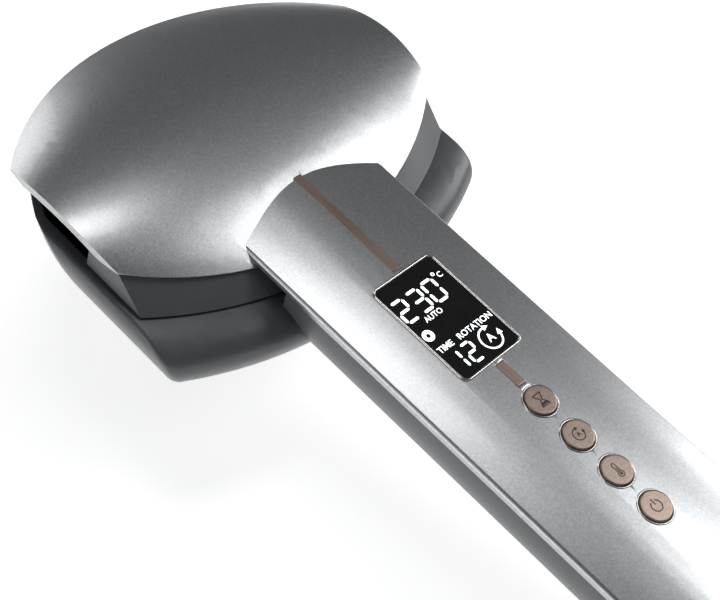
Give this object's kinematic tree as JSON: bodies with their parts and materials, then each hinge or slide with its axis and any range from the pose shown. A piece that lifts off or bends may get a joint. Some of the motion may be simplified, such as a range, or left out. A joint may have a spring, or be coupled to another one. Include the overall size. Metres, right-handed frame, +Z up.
{
  "type": "automatic hair curler",
  "caption": "Hinged automatic hair curler: a long handle with a display and press keys, and a domed head whose two halves close around a heated post and a turning arm that winds the hair.",
  "frame": {"origin": "middle of the footprint of the closed curler, on the surface it lies on", "axes": "+X from the head along the handle to the tail, +Y across the curler along the curl axis to the rotor end, +Z up"},
  "size_m": [0.2896, 0.1036, 0.0605],
  "materials": {
    "silver_paint": "pearl metallic, satin gloss",
    "grey_shell": "satin",
    "trim_metal": "brushed and anodised",
    "bright_rim": "polished",
    "key_metal": "fine brushed and anodised",
    "display_black": "high gloss",
    "display_body": "matte",
    "black_nylon": "matte",
    "liner_ceramic": "smooth ceramic coat",
    "heater_film": "satin",
    "heater_ceramic": "matte",
    "insulation_felt": "matte felt",
    "gear_white": "satin",
    "brass_metal": "satin",
    "steel": "satin",
    "board_green": "satin",
    "soft_rubber": "matte"
  },
  "bodies": {
    "lower_jaw": {"lower_casing": "grey_shell", "hinge_pin": "steel", "chamber_trough": "liner_ceramic", "trough_heater": "heater_film", "trough_insulation": "insulation_felt", "front_deck": "black_nylon", "rear_deck": "black_nylon", "jaw_magnet": "steel", "tail_cap": "grey_shell", "torsion_spring": "steel", "belly_pad": "soft_rubber", "tail_foot": "soft_rubber"},
    "upper_jaw": {"dome_cover": "silver_paint", "handle_cover": "silver_paint", "long_trim": "trim_metal", "short_trim": "trim_metal", "display_bezel": "bright_rim", "display_window": "display_black", "display_module": "display_body", "button_bezels": "bright_rim", "handle_tray": "black_nylon", "hinge_bushes": "brass_metal", "cover_screws": "steel", "control_board": "board_green", "tact_switches": "display_body", "power_board": "board_green", "upper_casing": "grey_shell", "neck_bridge": "black_nylon", "chamber_roof": "liner_ceramic", "roof_heater": "heater_film", "thermal_fuse": "display_body", "jaw_sensor": "display_body", "heated_post": "liner_ceramic", "post_heater": "heater_ceramic", "post_tip_cap": "black_nylon", "gearbox_inner_plate": "steel", "gearbox_outer_plate": "steel", "gearbox_spacers": "steel", "idler_axle": "steel", "rotor_motor": "steel"},
    "rotor_unit": {"rotor": "black_nylon", "rotor_gear": "gear_white"},
    "idler": {"idler_gear": "gear_white"},
    "motor_rotor": {"motor_pinion": "brass_metal", "motor_shaft": "steel"},
    "timer_key": {"timer_button": "key_metal"},
    "rotation_key": {"rotation_button": "key_metal"},
    "temperature_key": {"temperature_button": "key_metal"},
    "power_key": {"power_button": "key_metal"},
    "cord_swivel": {"cord_gland": "soft_rubber"}
  },
  "joints": [
    {"name": "jaw_hinge", "type": "hinge", "parent": "lower_jaw", "child": "upper_jaw", "pos_m": [0.10801, 0, 0.02038], "axis": [0, 1, 0], "range_deg": [0, 16], "stiffness_Nm_per_rad": 0.05, "springref_deg": -11.46},
    {"name": "rotor_spin", "type": "hinge", "parent": "upper_jaw", "child": "rotor_unit", "pos_m": [-0.10537, 0, 0.03852], "axis": [0, 1, 0], "continuous": true},
    {"name": "idler_spin", "type": "hinge", "parent": "upper_jaw", "child": "idler", "pos_m": [-0.09092, 0, 0.04029], "axis": [0, 1, 0], "continuous": true},
    {"name": "motor_spin", "type": "hinge", "parent": "upper_jaw", "child": "motor_rotor", "pos_m": [-0.08125, 0, 0.0391], "axis": [0, 1, 0], "continuous": true},
    {"name": "timer_press", "type": "slide", "parent": "upper_jaw", "child": "timer_key", "axis": [-0.1219, 0, -0.9925], "range_m": [0, 0.0005], "stiffness_N_per_m": 600},
    {"name": "rotation_press", "type": "slide", "parent": "upper_jaw", "child": "rotation_key", "axis": [-0.1219, 0, -0.9925], "range_m": [0, 0.0005], "stiffness_N_per_m": 600},
    {"name": "temperature_press", "type": "slide", "parent": "upper_jaw", "child": "temperature_key", "axis": [-0.1219, 0, -0.9925], "range_m": [0, 0.0005], "stiffness_N_per_m": 600},
    {"name": "power_press", "type": "slide", "parent": "upper_jaw", "child": "power_key", "axis": [-0.1219, 0, -0.9925], "range_m": [0, 0.0005], "stiffness_N_per_m": 600},
    {"name": "cord_turn", "type": "hinge", "parent": "lower_jaw", "child": "cord_swivel", "pos_m": [0.13129, 0, 0.01299], "axis": [0.9925, 0, -0.1219], "continuous": true}
  ],
  "couplings": [
    {"joint": "idler_spin", "follows": "rotor_spin", "ratio": -1.5714},
    {"joint": "motor_spin", "follows": "rotor_spin", "ratio": 2.2}
  ]
}
